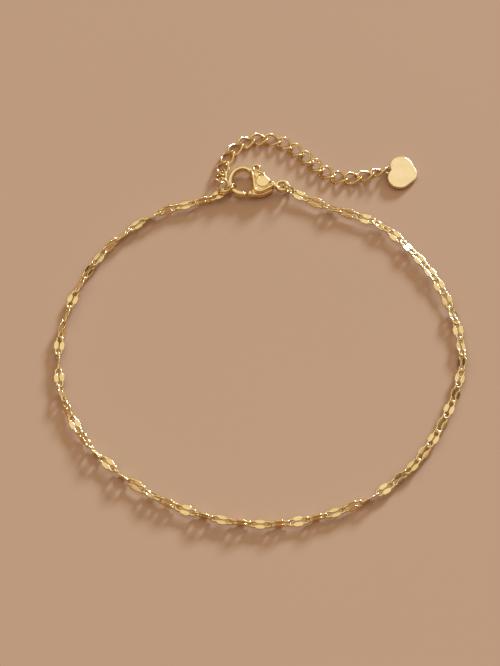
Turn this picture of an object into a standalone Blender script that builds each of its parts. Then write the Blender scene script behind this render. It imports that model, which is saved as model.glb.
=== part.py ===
"""Anklet lying closed on a flat surface: a lip chain, a lobster clasp, an extender chain and a heart tag.

Units are metres and +Z is up. The surface is z = 0, and the middle of the anklet is over the origin.
"""
import math

import bmesh
import bpy
import numpy as np
from mathutils import Matrix, Vector

# Lip chain: oval wire links whose long sides are stamped into flat paddles
LIP_WIRE = 0.00042
LIP_PITCH = 0.00329
LIP_WIDTH = 0.00196
LIP_FUSE = 0.00013
PADDLE_LENGTH = 0.0015
PADDLE_WIDTH = 0.00082
PADDLE_THICKNESS = 0.00024
SHOULDER_LEAN = 42.0
SHOULDER_SETBACK = 0.72
SHOULDER_SPREAD = 1.35
LIP_FLOOR_GAP = 0.00002

# Extender: curb links, each twisted along its own length
CURB_WIRE = 0.00038
CURB_PITCH = 0.00260
CURB_WIDTH = 0.00252
CURB_TWIST = -45.0
CURB_FULLNESS = 0.85
CURB_POINTS = 12
CURB_FLOOR_GAP = 0.00002

# Jump rings, both standing upright
RING_WIRE = 0.00040
RING_OUTER = 0.0027
RING_POINTS = 14
RING_FLOOR_GAP = 0.00002
LINK_CLEARANCE = 0.00010
EYE_RING_ANGLE = -32.0

# Height of the first links on the rings' outer sides, as shares of a ring's outer size above its middle
CHAIN_LIFT = -0.08
EXTENDER_LIFT = 0.2

# Distance between samples along a smooth line
ROUTE_STEP = 0.0002
HOOK_STEP = 0.00055
BODY_STEP = 0.0005
LEVER_STEP = 0.0007

# Lobster clasp, with the rivet at its own zero
CLASP_PLACE = (0.00013, 0.03346)
BODY_LENGTH = 0.0040
BODY_WIDTH = 0.0048
BODY_THICKNESS = 0.0024
BODY_EDGE = 0.00015
RIM_WIDTH = 0.00022
RELIEF_DEPTH = 0.00018
BOSS_RADIUS = 0.00106
DOT_RADIUS = 0.00017
DOT_SHARE = (0.34, -0.10)
FACET_CORNERS = [(-0.39, 0.36), (-0.29, 0.13), (-0.11, 0.34)]
DETAIL_DROP = 0.00003
HOOK_REACH = 0.0064
HOOK_SPAN = 0.0068
HOOK_WIDTH = 0.00084
HOOK_THICKNESS = 0.0011
EYE_DISTANCE = 0.0036
EYE_ANGLE = -6.0
EYE_HOLE = 0.00168
EYE_WIRE = 0.00042
EYE_THICKNESS = 0.0010
NECK_WIDTH = 0.0014
NECK_START_SHARE = 0.3
LEVER_THICKNESS = 0.0009
LEVER_GAP = 0.0001
GATE_THICKNESS = 0.0012
GATE_RADIUS = 0.00042
KNOB_RADIUS = 0.00068
KNOB_THICKNESS = 0.0014
RIVET_RADIUS = 0.0003
RIVET_GAP = 0.00006

# Heart tag, held up at its eyelet by the last curb link
TAG_TIP_PLACE = (0.02873, 0.03574)
TAG_ANGLE = -11.0
TAG_LENGTH = 0.0054
TAG_LOBE_RADIUS = 0.00218
TAG_LOBE_SPREAD = 0.0013
TAG_TIP_RADIUS = 0.0017
TAG_THICKNESS = 0.0007
TAG_EDGE = 0.00012
TAG_TILT = 6.5
EYELET_HOLE = 0.00104
EYELET_WIRE = 0.0004
EYELET_INSET = -0.00012

# Route of the lip chain, from the ring on the hook round to the ring in the eye
CHAIN_ROUTE = [
    (-0.0081, 0.0309), (-0.0132, 0.0293), (-0.0175, 0.0279), (-0.0219, 0.0256), (-0.0287, 0.0190),
    (-0.0334, 0.0107), (-0.0360, 0.0009), (-0.0357, -0.0087), (-0.0321, -0.0180), (-0.0255, -0.0257),
    (-0.0172, -0.0316), (-0.0083, -0.0350), (0.0015, -0.0362), (0.0111, -0.0344), (0.0199, -0.0304),
    (0.0271, -0.0238), (0.0324, -0.0148), (0.0355, -0.0051), (0.0346, 0.0046), (0.0308, 0.0140),
    (0.0246, 0.0221), (0.0199, 0.0258), (0.0172, 0.0267), (0.0112, 0.0290), (0.0077, 0.0306),
]

# Route of the extender, from the ring on the hook to the tag, with its rise above lying flat last. The start passes
# beside the hook, so its first number is a share of the hook's reach
EXTENDER_START = [
    (-1.25, 0.0347, 0.0009), (-1.171875, 0.0364, 0.0001), (-1.0625, 0.0392, 0.0), (-0.8125, 0.0417, 0.0),
]
EXTENDER_ROUTE = [
    (-0.0029, 0.0434, 0.0), (-0.0003, 0.0440, 0.0), (0.0027, 0.0436, 0.0), (0.0055, 0.0421, 0.0),
    (0.0080, 0.0399, 0.0), (0.0103, 0.0376, 0.0), (0.0128, 0.0358, 0.0), (0.0156, 0.0351, 0.0),
    (0.0183, 0.0355, 0.00006), (0.0206, 0.0361, 0.00034),
]

# Slow twist of the lip chain: share of the chain, and degrees away from lying flat
CHAIN_TWIST = [
    (0.00, 15), (0.03, 0), (0.08, 90), (0.13, 0), (0.18, 90), (0.225, 0),
    (0.26, 0), (0.305, 90), (0.355, 0), (0.435, 90), (0.565, 90), (0.61, 0),
    (0.73, 0), (0.775, 90), (0.84, 0), (0.935, 0), (0.965, 80), (1.00, 0),
]

# Roll of the extender's links: share of the extender, and degrees
EXTENDER_ROLL = [(0.00, -30), (0.12, 0), (0.87, 0), (0.94, -15), (1.00, -35)]

# Outline of the clasp's body: shares of its length and width from the rivet, anticlockwise
BODY_OUTLINE = [
    (-0.57, 0.52), (-0.52, 0.31), (-0.475, 0.08), (-0.45, -0.17), (-0.385, -0.385), (-0.20, -0.48),
    (0.01, -0.455), (0.21, -0.36), (0.40, -0.27), (0.51, -0.17), (0.50, -0.02), (0.375, 0.105),
    (0.19, 0.285), (-0.01, 0.435), (-0.225, 0.54), (-0.425, 0.57),
]

# Start of the hook inside the body's upper corner: shares of the body's length and width, and of its own
HOOK_ROOT_SHARE = (-0.44, 0.40, 1.15)

# Hook after its start: shares of its reach and half span from the rivet, and of its width
HOOK_SECTIONS = [
    (-0.406, 0.868, 1.00), (-0.566, 0.994, 0.93), (-0.711, 0.912, 0.95), (-0.828, 0.735, 1.00),
    (-0.909, 0.471, 1.04), (-0.941, 0.162, 1.05), (-0.922, -0.147, 1.02), (-0.852, -0.382, 0.95),
    (-0.750, -0.541, 0.84), (-0.628, -0.624, 0.70), (-0.5125, -0.668, 0.50),
]
HOOK_RING_SHARE = 0.735

# Lever plate: shares of the body's length and width from the rivet, anticlockwise
LEVER_OUTLINE = [
    (-0.23, 0.05), (-0.28, -0.10), (-0.38, -0.24), (-0.54, -0.33), (-0.68, -0.37), (-0.72, -0.44),
    (-0.66, -0.51), (-0.42, -0.525), (-0.19, -0.525), (0.02, -0.505), (0.22, -0.43), (0.40, -0.34),
    (0.46, -0.28), (0.39, -0.24), (0.26, -0.15), (0.25, 0.02), (0.15, 0.19), (0.00, 0.36),
    (-0.10, 0.53), (-0.165, 0.72), (-0.27, 0.81), (-0.355, 0.73), (-0.31, 0.53), (-0.24, 0.28),
]
GATE_SHARE = (-0.575, -0.4375)
GATE_LENGTH_SHARE = 0.10
KNOB_SHARE = (-0.27, 0.745)

# Slot between the cheeks: shares of the body's length and width, open to the hook and below
SLOT_OUTLINE = [
    (-0.37, 0.90), (-0.37, 0.04), (-0.76, 0.04), (-0.76, -0.90), (0.55, -0.90), (0.55, -0.20),
    (0.30, -0.14), (0.30, 0.90),
]

GOLD = (0.83, 0.60, 0.27, 1.0)
PALE_GOLD = (0.90, 0.70, 0.40, 1.0)


def clear_scene():
    """Removes whatever the file holds."""
    for thing in list(bpy.data.objects):
        bpy.data.objects.remove(thing, do_unlink=True)


def make_collection(name):
    """Adds a collection to the scene."""
    group = bpy.data.collections.new(name)
    bpy.context.scene.collection.children.link(group)
    return group


def make_material(name, colour, roughness):
    """Polished or brushed metal."""
    material = bpy.data.materials.new(name)
    material.use_nodes = True
    shader = material.node_tree.nodes["Principled BSDF"]
    shader.inputs["Base Color"].default_value = colour
    shader.inputs["Metallic"].default_value = 1.0
    shader.inputs["Roughness"].default_value = roughness
    return material


def add_object(name, data, group, parent=None, material=None):
    """Puts mesh or curve data into the scene as one named object."""
    thing = bpy.data.objects.new(name, data)
    group.objects.link(thing)
    thing.parent = parent
    if material:
        data.materials.append(material)
    return thing


def hide_cutter(thing):
    """A cutter or an operand stays out of the model."""
    thing.hide_render = True
    thing.display_type = "WIRE"
    return thing


def boolean(thing, operand, operation):
    """Adds an exact Boolean modifier."""
    modifier = thing.modifiers.new(operation.title() + " " + operand.name, "BOOLEAN")
    modifier.operation = operation
    modifier.solver = "EXACT"
    modifier.object = operand


def curve_to_mesh(curve, name):
    """Turns curve data into a welded mesh."""
    holder = bpy.data.objects.new(name, curve)
    bpy.context.scene.collection.objects.link(holder)
    bpy.context.view_layer.update()
    graph = bpy.context.evaluated_depsgraph_get()
    mesh = bpy.data.meshes.new_from_object(holder.evaluated_get(graph))
    bpy.data.objects.remove(holder, do_unlink=True)
    shape = bmesh.new()
    shape.from_mesh(mesh)
    bmesh.ops.remove_doubles(shape, verts=shape.verts, dist=1e-6)
    bmesh.ops.recalc_face_normals(shape, faces=shape.faces)
    if shape.calc_volume(signed=True) < 0:
        bmesh.ops.reverse_faces(shape, faces=shape.faces)
    shape.to_mesh(mesh)
    shape.free()
    return mesh


def smooth_through(points, spacing, closed=False):
    """Catmull-Rom curve through points of any dimension, with about the given spacing between samples."""
    points = np.asarray(points, float)
    if closed:
        ring = np.vstack([points[-1], points, points[:2]])
    else:
        ring = np.vstack([2 * points[0] - points[1], points, 2 * points[-1] - points[-2]])
    pieces = []
    for before, start, end, after in zip(ring[:-3], ring[1:-2], ring[2:-1], ring[3:]):
        steps = max(1, round(float(np.linalg.norm((end - start)[:2])) / spacing))
        t = np.linspace(0.0, 1.0, steps, endpoint=False)[:, None]
        pieces.append(0.5 * (2 * start + (end - before) * t
                             + (2 * before - 5 * start + 4 * end - after) * t ** 2
                             + (3 * start - before - 3 * end + after) * t ** 3))
    if not closed:
        pieces.append(points[-1:])
    return np.vstack(pieces)


def along(route, distances):
    """Points at the given distances along a finely sampled route."""
    steps = np.linalg.norm(np.diff(route, axis=0), axis=1)
    travelled = np.concatenate([[0.0], np.cumsum(steps)])
    return np.column_stack([np.interp(distances, travelled, route[:, k]) for k in range(3)])


def route_length(route):
    """Length of a finely sampled route."""
    return float(np.linalg.norm(np.diff(route, axis=0), axis=1).sum())


def link_frames(route, nominal_pitch, roll_of):
    """Pitch that fills the route, and each link's middle and its along, across and up directions."""
    length = route_length(route)
    count = max(2, round(length / nominal_pitch))
    ends = along(route, np.linspace(0.0, length, count + 1))
    middles = 0.5 * (ends[:-1] + ends[1:])
    forward = ends[1:] - ends[:-1]
    forward /= np.linalg.norm(forward, axis=1)[:, None]
    across = np.cross((0.0, 0.0, 1.0), forward)
    across /= np.linalg.norm(across, axis=1)[:, None]
    up = np.cross(forward, across)
    roll = np.radians([roll_of(index, index / (count - 1)) for index in range(count)])[:, None]
    turned_across = np.cos(roll) * across + np.sin(roll) * up
    turned_up = np.cos(roll) * up - np.sin(roll) * across
    return length / count, middles, np.stack([forward, turned_across, turned_up], axis=1)


def table_value(table, share):
    """Reads a two-column table between its rows."""
    columns = np.asarray(table, float)
    return float(np.interp(share, columns[:, 0], columns[:, 1]))


def lip_sections(pitch):
    """Ten five-sided sections round one lip link in its own frame: shape (10, 5, 3)."""
    half_length = 0.5 * (pitch + LIP_WIRE - LIP_FUSE)
    blade_line = 0.5 * (LIP_WIDTH - PADDLE_WIDTH)
    blade_end = 0.5 * PADDLE_LENGTH
    shoulder_along = half_length - SHOULDER_SETBACK * LIP_WIRE
    shoulder_across = SHOULDER_SPREAD * LIP_WIRE
    # columns: place along, place across, lean in degrees, width, thickness, whether it is a blade
    apex = (half_length, 0.0, 0.0, LIP_WIRE, LIP_WIRE, False)
    shoulder = (shoulder_along, shoulder_across, SHOULDER_LEAN, LIP_WIRE, LIP_WIRE, False)
    blade = (blade_end, blade_line, 90.0, PADDLE_WIDTH, PADDLE_THICKNESS, True)
    order = [
        (1, 1, apex), (1, 1, shoulder), (1, 1, blade), (-1, 1, blade), (-1, 1, shoulder),
        (-1, 1, apex), (-1, -1, shoulder), (-1, -1, blade), (1, -1, blade), (1, -1, shoulder),
    ]
    round_wire = [(0.5 * math.cos(a), 0.5 * math.sin(a)) for a in np.radians([0, 72, 144, 216, 288])]
    flat_blade = [(0.5, 0.0), (0.34, 0.5), (-0.5, 0.5), (-0.5, -0.5), (0.34, -0.5)]
    sections = []
    for side_along, side_across, (place_along, place_across, lean, width, thickness, is_blade) in order:
        out_along = side_along * math.cos(math.radians(lean))
        out_across = side_across * math.sin(math.radians(lean))
        profile = flat_blade if is_blade else round_wire
        sections.append([
            (side_along * place_along + out_along * side * width,
             side_across * place_across + out_across * side * width, lift * thickness)
            for side, lift in profile
        ])
    return np.array(sections)


def tube_faces(sections, sides, first):
    """Quads of a closed ring of sections, counted from a first vertex."""
    station, side = np.meshgrid(np.arange(sections), np.arange(sides), indexing="ij")
    after, beside = (station + 1) % sections, (side + 1) % sides
    corners = [
        station * sides + side, after * sides + side, after * sides + beside, station * sides + beside,
    ]
    return first + np.stack(corners, axis=-1).reshape(-1, 4)


def lip_links_mesh(name, sections, middles, frames):
    """One mesh of several links that don't touch each other."""
    placed = np.einsum("sqk,nkd->nsqd", sections, frames) + middles[:, None, None, :]
    size = sections.shape[0] * sections.shape[1]
    faces = np.vstack([
        tube_faces(sections.shape[0], sections.shape[1], index * size) for index in range(len(middles))
    ])
    mesh = bpy.data.meshes.new(name)
    mesh.from_pydata(placed.reshape(-1, 3).tolist(), [], faces.tolist())
    return mesh


def poly_curve(name, outlines, flat=True, closed=True, radii=None):
    """Curve data with one straight-run spline for each outline."""
    curve = bpy.data.curves.new(name, "CURVE")
    curve.dimensions = "2D" if flat else "3D"
    for points in outlines:
        spline = curve.splines.new("POLY")
        spline.points.add(len(points) - 1)
        for index, point in enumerate(points):
            spline.points[index].co = (*point[:2], point[2] if len(point) > 2 else 0.0, 1.0)
            if radii is not None:
                spline.points[index].radius = radii[index]
        spline.use_cyclic_u = closed
    return curve


def plate(name, outlines, thickness, edge=0.0):
    """Welded plate of the outline's own size, centred on zero in height, with chamfered edges."""
    curve = poly_curve(name, outlines)
    curve.fill_mode = "BOTH"
    curve.extrude = thickness / 2 - edge
    curve.bevel_depth = edge
    curve.bevel_resolution = 0
    curve.offset = -edge
    return curve_to_mesh(curve, name)


def circle_points(centre, radius, count):
    """Points of a circle, anticlockwise."""
    angles = [2 * math.pi * index / count for index in range(count)]
    return [(centre[0] + radius * math.cos(a), centre[1] + radius * math.sin(a)) for a in angles]


def arc_points(centre, radius, start, end, steps):
    """Points of an arc between two angles in radians."""
    angles = [start + (end - start) * index / steps for index in range(steps + 1)]
    return [(centre[0] + radius * math.cos(a), centre[1] + radius * math.sin(a)) for a in angles]


def inset(points, distance, tolerance=0.03):
    """Anticlockwise outline moved inwards by a distance, without points that come out nearer."""
    points = np.asarray(points, float)[:, :2]
    run = np.roll(points, -1, axis=0) - np.roll(points, 1, axis=0)
    run /= np.linalg.norm(run, axis=1)[:, None]
    moved = points + distance * np.column_stack([-run[:, 1], run[:, 0]])
    side = np.roll(points, -1, axis=0) - points
    offset = moved[:, None, :] - points[None, :, :]
    share = np.clip((offset * side).sum(axis=2) / (side ** 2).sum(axis=1), 0.0, 1.0)
    nearest = np.linalg.norm(offset - share[:, :, None] * side, axis=2).min(axis=1)
    return moved[nearest > (1 - tolerance) * distance]


def disc_mesh(name, radius, thickness, sides=12):
    """Short upright cylinder about zero."""
    shape = bmesh.new()
    bmesh.ops.create_cone(
        shape, cap_ends=True, segments=sides, radius1=radius, radius2=radius, depth=thickness,
    )
    mesh = bpy.data.meshes.new(name)
    shape.to_mesh(mesh)
    shape.free()
    return mesh


def ring_mesh(name, centre_radius, wire, thickness, points, resolution=1):
    """Ring lying flat about zero, its wire stretched to a thickness."""
    curve = poly_curve(name, [circle_points((0, 0), centre_radius, points)], flat=False)
    curve.bevel_depth = wire / 2
    curve.bevel_resolution = resolution
    mesh = curve_to_mesh(curve, name)
    mesh.transform(Matrix.Scale(thickness / wire, 4, (0, 0, 1)))
    return mesh


def scaled(outline):
    """Outline of shares as real places on the clasp."""
    return [(x * BODY_LENGTH, y * BODY_WIDTH) for x, y in outline]


def hook_line():
    """Finely sampled middle line of the hook, with its width as a third column."""
    root_x, root_y, root_width = HOOK_ROOT_SHARE
    rows = [(root_x * BODY_LENGTH, root_y * BODY_WIDTH, root_width * HOOK_WIDTH)]
    rows += [(x * HOOK_REACH, y * HOOK_SPAN / 2, share * HOOK_WIDTH) for x, y, share in HOOK_SECTIONS]
    return smooth_through(rows, HOOK_STEP)


def eye_centre():
    """Middle of the clasp's eye from the rivet."""
    angle = math.radians(EYE_ANGLE)
    return Vector((EYE_DISTANCE * math.cos(angle), EYE_DISTANCE * math.sin(angle), 0.0))


def clasp_origin():
    """Rivet at mid thickness, with the body lying on the surface."""
    return Vector((*CLASP_PLACE, BODY_THICKNESS / 2))


def make_clasp_body(parts, cutters, root, gold):
    """Cheeks, hook, neck and eye are one casting, slotted for the lever."""
    outline = smooth_through(scaled(BODY_OUTLINE), BODY_STEP, closed=True)
    body_mesh = plate("clasp_body", [outline], BODY_THICKNESS, BODY_EDGE)
    body = add_object("clasp_body", body_mesh, parts, root, gold)
    body.location = clasp_origin()

    line = hook_line()
    radii = line[:, 2] / HOOK_WIDTH
    curve = poly_curve("hook_wire", [line[:, :2]], flat=False, closed=False, radii=radii)
    curve.bevel_depth = HOOK_WIDTH / 2
    curve.bevel_resolution = 2
    curve.use_fill_caps = True
    hook_mesh = curve_to_mesh(curve, "hook_wire")
    hook_mesh.transform(Matrix.Scale(HOOK_THICKNESS / HOOK_WIDTH, 4, (0, 0, 1)))
    hook = hide_cutter(add_object("hook_wire", hook_mesh, cutters, body))

    centre = eye_centre()
    eye_radius = (EYE_HOLE + EYE_WIRE) / 2
    eye_mesh = ring_mesh("eye_ring", eye_radius, EYE_WIRE, EYE_THICKNESS, 16, 2)
    eye = hide_cutter(add_object("eye_ring", eye_mesh, cutters, body))
    eye.location = centre

    neck_start = NECK_START_SHARE * BODY_LENGTH
    neck_length = EYE_DISTANCE - eye_radius - neck_start
    shape = bmesh.new()
    bmesh.ops.create_cone(
        shape, cap_ends=True, segments=12, radius1=NECK_WIDTH / 2, radius2=EYE_THICKNESS / 2,
        depth=neck_length,
    )
    neck_mesh = bpy.data.meshes.new("neck")
    shape.to_mesh(neck_mesh)
    shape.free()
    neck = hide_cutter(add_object("neck", neck_mesh, cutters, body))
    direction = centre.normalized()
    neck.rotation_mode = "QUATERNION"
    neck.rotation_quaternion = direction.to_track_quat("Z", "Y")
    neck.location = direction * (neck_start + neck_length / 2)

    slot_mesh = plate("lever_slot", [scaled(SLOT_OUTLINE)], LEVER_THICKNESS + 2 * LEVER_GAP)
    slot = hide_cutter(add_object("lever_slot", slot_mesh, cutters, body))

    relief_mesh = plate("relief", [inset(outline, RIM_WIDTH + BODY_EDGE)], 2 * RELIEF_DEPTH)
    boss = circle_points((0, 0), BOSS_RADIUS, 20)
    facet = scaled(FACET_CORNERS)
    dot = circle_points(scaled([DOT_SHARE])[0], DOT_RADIUS, 8)
    details = [("boss", boss, 0.0), ("facet", facet, DETAIL_DROP), ("dot", dot, DETAIL_DROP)]
    details = [(plate(name, [shape], 2 * RELIEF_DEPTH), drop) for name, shape, drop in details]
    bore_mesh = disc_mesh("rivet_bore", RIVET_RADIUS + RIVET_GAP, 2 * BODY_THICKNESS)
    bore = hide_cutter(add_object("rivet_bore", bore_mesh, cutters, body))

    boolean(body, hook, "UNION")
    boolean(body, neck, "UNION")
    boolean(body, eye, "UNION")
    boolean(body, slot, "DIFFERENCE")
    for side in (1, -1):
        name = "relief_top" if side > 0 else "relief_under"
        pocket = hide_cutter(add_object(name, relief_mesh, cutters, body))
        pocket.location = (0, 0, side * BODY_THICKNESS / 2)
        boolean(body, pocket, "DIFFERENCE")
        for mesh, drop in details:
            detail = hide_cutter(add_object(f"{mesh.name}_{name}", mesh, cutters, body))
            detail.location = (0, 0, side * (BODY_THICKNESS / 2 - RELIEF_DEPTH - drop))
            boolean(body, detail, "UNION")
    boolean(body, bore, "DIFFERENCE")
    return body


def make_lever(parts, cutters, root, gold):
    """Lever plate with its thicker gate and thumb knob, turning on the rivet."""
    outline = smooth_through(scaled(LEVER_OUTLINE), LEVER_STEP, closed=True)
    lever_mesh = plate("clasp_lever", [outline], LEVER_THICKNESS)
    lever = add_object("clasp_lever", lever_mesh, parts, root, gold)
    lever.location = clasp_origin()

    gate_x, gate_y = scaled([GATE_SHARE])[0]
    gate_half = GATE_LENGTH_SHARE * BODY_LENGTH / 2
    gate_outline = (
        arc_points((gate_x - gate_half, gate_y), GATE_RADIUS, math.pi / 2, 1.5 * math.pi, 4)
        + arc_points((gate_x + gate_half, gate_y), GATE_RADIUS, -math.pi / 2, math.pi / 2, 4)
    )
    gate_mesh = plate("gate_end", [gate_outline], GATE_THICKNESS, GATE_RADIUS / 3)
    gate = hide_cutter(add_object("gate_end", gate_mesh, cutters, lever))

    knob_mesh = plate("knob", [circle_points((0, 0), KNOB_RADIUS, 12)], KNOB_THICKNESS, KNOB_RADIUS / 4)
    knob = hide_cutter(add_object("knob", knob_mesh, cutters, lever))
    knob.location = (*scaled([KNOB_SHARE])[0], 0)
    bore_mesh = disc_mesh("lever_bore", RIVET_RADIUS + RIVET_GAP, 2 * LEVER_THICKNESS)
    bore = hide_cutter(add_object("lever_bore", bore_mesh, cutters, lever))

    boolean(lever, gate, "UNION")
    boolean(lever, knob, "UNION")
    boolean(lever, bore, "DIFFERENCE")
    return lever


def make_rivet(parts, root, gold):
    """Pin through both cheeks and the lever."""
    length = BODY_THICKNESS - RELIEF_DEPTH
    rivet = add_object("clasp_rivet", disc_mesh("clasp_rivet", RIVET_RADIUS, length), parts, root, gold)
    rivet.location = clasp_origin()
    return rivet


def upright_ring(name, centre, direction, parts, root, gold):
    """Jump ring standing on the surface, its plane along a level direction."""
    mesh = ring_mesh(name, (RING_OUTER - RING_WIRE) / 2, RING_WIRE, RING_WIRE, RING_POINTS)
    ring = add_object(name, mesh, parts, root, gold)
    upright = Vector((0, 0, 1))
    axes = Matrix((direction, upright, direction.cross(upright))).transposed()
    ring.matrix_local = Matrix.Translation(centre) @ axes.to_4x4()
    return ring


def hook_ring_place():
    """Centre of the ring on the hook and the level direction away from the clasp's opening."""
    line = hook_line()
    steps = np.linalg.norm(np.diff(line[:, :2], axis=0), axis=1)
    travelled = np.concatenate([[0.0], np.cumsum(steps)])
    target = HOOK_RING_SHARE * travelled[-1]
    x, y, width = (float(np.interp(target, travelled, line[:, k])) for k in range(3))
    nearest = int(np.clip(np.searchsorted(travelled, target), 1, len(line) - 1))
    run = Vector((*(line[nearest, :2] - line[nearest - 1, :2]), 0.0)).normalized()
    outward = Vector((run.y, -run.x, 0.0))
    if outward.dot(Vector((x, y, 0.0))) < 0:
        outward.negate()
    inner_radius = RING_OUTER / 2 - RING_WIRE
    reach = inner_radius - width / 2 - 2 * LINK_CLEARANCE
    centre = clasp_origin() + Vector((x, y, 0.0)) + outward * reach
    centre.z = RING_OUTER / 2 + RING_FLOOR_GAP
    return centre, outward


def eye_ring_place():
    """Centre of the ring in the clasp's eye and the level direction away from the clasp."""
    angle = math.radians(EYE_RING_ANGLE)
    outward = Vector((math.cos(angle), math.sin(angle), 0.0))
    inner_radius = RING_OUTER / 2 - RING_WIRE
    reach = EYE_HOLE / 2 + EYE_WIRE / 2 + 0.5 * (inner_radius - EYE_WIRE)
    centre = clasp_origin() + eye_centre() + outward * reach
    centre.z = RING_OUTER / 2 + RING_FLOOR_GAP
    return centre, outward


def hold_point(centre, outward, lift, towards, extra):
    """Point where a link that leads to a place rests against the outer side of an upright ring."""
    radius = (RING_OUTER - RING_WIRE) / 2
    wire = centre + outward * math.sqrt(radius ** 2 - lift ** 2) + Vector((0, 0, lift))
    lead = Vector((towards[0], towards[1], wire.z)) - wire
    lead.normalize()
    return wire - lead * (RING_WIRE / 2 + extra)


def chain_route():
    """Middle line of the lip chain, raised at its ends to the rings that hold it."""
    level = LIP_WIDTH / 2 + LIP_FLOOR_GAP
    start_ring, start_out = hook_ring_place()
    end_ring, end_out = eye_ring_place()
    extra = LINK_CLEARANCE + LIP_FUSE / 2
    start = hold_point(start_ring, start_out, CHAIN_LIFT * RING_OUTER, CHAIN_ROUTE[0], extra)
    end = hold_point(end_ring, end_out, CHAIN_LIFT * RING_OUTER, CHAIN_ROUTE[-1], extra)
    points = [start] + [(x, y, level) for x, y in CHAIN_ROUTE] + [end]
    return smooth_through([tuple(point) for point in points], ROUTE_STEP)


def make_lip_chain(parts, cutters, root, gold):
    """Every second link is one mesh and the links between them another, joined where they meet."""
    def roll(index, share):
        return table_value(CHAIN_TWIST, share) + 90.0 * (index % 2)

    pitch, middles, frames = link_frames(chain_route(), LIP_PITCH, roll)
    sections = lip_sections(pitch)
    even = lip_links_mesh("lip_chain", sections, middles[::2], frames[::2])
    odd = lip_links_mesh("links_between", sections, middles[1::2], frames[1::2])
    chain = add_object("lip_chain", even, parts, root, gold)
    between = hide_cutter(add_object("links_between", odd, cutters, root))
    boolean(chain, between, "UNION")
    return chain


def tag_origin():
    """Point on the tag's axis where its lobes begin, at mid thickness over the surface."""
    angle = math.radians(TAG_ANGLE)
    x = TAG_TIP_PLACE[0] - TAG_LENGTH * math.cos(angle)
    y = TAG_TIP_PLACE[1] - TAG_LENGTH * math.sin(angle)
    tilt = math.radians(TAG_TILT)
    lift = TAG_LENGTH * math.sin(tilt) + TAG_THICKNESS / 2 * math.cos(tilt)
    return Vector((x, y, lift))


def tag_matrix():
    """Turns the tag to its place, with its tip lower than its eyelet."""
    turn = Matrix.Rotation(math.radians(TAG_ANGLE), 4, "Z")
    tilt = Matrix.Rotation(math.radians(TAG_TILT), 4, "Y")
    return Matrix.Translation(tag_origin()) @ turn @ tilt


def heart_outline():
    """Two lobe arcs and a tip arc joined by straight sides, anticlockwise from the notch's lower side."""
    lobe = (TAG_LOBE_RADIUS, TAG_LOBE_SPREAD)
    tip = (TAG_LENGTH - TAG_TIP_RADIUS, 0.0)
    run = math.hypot(tip[0] - lobe[0], tip[1] - lobe[1])
    lean = math.atan2(tip[1] - lobe[1], tip[0] - lobe[0])
    side = lean + math.acos((TAG_LOBE_RADIUS - TAG_TIP_RADIUS) / run)
    notch = math.pi - math.asin(-TAG_LOBE_SPREAD / TAG_LOBE_RADIUS)
    upper = arc_points(lobe, TAG_LOBE_RADIUS, side, notch, 9)
    lower = [(x, -y) for x, y in reversed(upper)]
    tip_arc = arc_points(tip, TAG_TIP_RADIUS, -side, side, 6)
    return lower[1:] + tip_arc + upper


def eyelet_centre():
    """Middle of the tag's eyelet in the tag's frame."""
    return Vector((EYELET_INSET, 0.0, 0.0))


def make_tag(parts, cutters, root, pale):
    """Heart plate with its eyelet soldered into the notch."""
    tag_mesh = plate("heart_tag", [heart_outline()], TAG_THICKNESS, TAG_EDGE)
    tag = add_object("heart_tag", tag_mesh, parts, root, pale)
    tag.matrix_local = tag_matrix()
    radius = (EYELET_HOLE + EYELET_WIRE) / 2
    eyelet_mesh = ring_mesh("eyelet", radius, EYELET_WIRE, EYELET_WIRE, RING_POINTS)
    eyelet = hide_cutter(add_object("eyelet", eyelet_mesh, cutters, tag))
    eyelet.location = eyelet_centre()
    clear_mesh = disc_mesh("eyelet_hole", EYELET_HOLE / 2, 2 * TAG_THICKNESS, 12)
    clear = hide_cutter(add_object("eyelet_hole", clear_mesh, cutters, tag))
    clear.location = eyelet_centre()
    boolean(tag, clear, "DIFFERENCE")
    boolean(tag, eyelet, "UNION")
    return tag


def extender_route():
    """Middle line of the extender, from the ring on the hook down to the surface and on to the tag."""
    level = curb_line(CURB_PITCH)[:, 2].max() + CURB_WIRE / 2 + CURB_FLOOR_GAP
    ring, outward = hook_ring_place()
    extra = LINK_CLEARANCE / 2
    beside = [(share * HOOK_REACH, y, rise) for share, y, rise in EXTENDER_START]
    start = hold_point(ring, outward, EXTENDER_LIFT * RING_OUTER, beside[0], extra)
    matrix = tag_matrix()
    wire = eyelet_centre() - Vector(((EYELET_HOLE + EYELET_WIRE) / 2, 0, 0))
    end = matrix @ (wire + Vector((EYELET_WIRE / 2 + extra, 0, 0)))
    points = [start] + [(x, y, level + rise) for x, y, rise in beside + EXTENDER_ROUTE] + [end]
    return smooth_through([tuple(point) for point in points], ROUTE_STEP)


def curb_line(pitch):
    """Middle line of a curb link: a full oval whose ends are turned opposite ways about its long axis."""
    half_length = 0.5 * (pitch + CURB_WIRE + LINK_CLEARANCE)
    half_width = 0.5 * (CURB_WIDTH - CURB_WIRE)
    angle = 2 * math.pi * np.arange(CURB_POINTS) / CURB_POINTS
    lengthwise = np.sign(np.cos(angle)) * np.abs(np.cos(angle)) ** CURB_FULLNESS
    sideways = half_width * np.sign(np.sin(angle)) * np.abs(np.sin(angle)) ** CURB_FULLNESS
    twist = math.radians(CURB_TWIST) * lengthwise
    return np.column_stack([half_length * lengthwise, sideways * np.cos(twist), sideways * np.sin(twist)])


def curb_curve(pitch):
    """One curb link of round wire."""
    curve = poly_curve("curb_link", [curb_line(pitch)], flat=False)
    curve.bevel_depth = CURB_WIRE / 2
    curve.bevel_resolution = 1
    return curve


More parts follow.
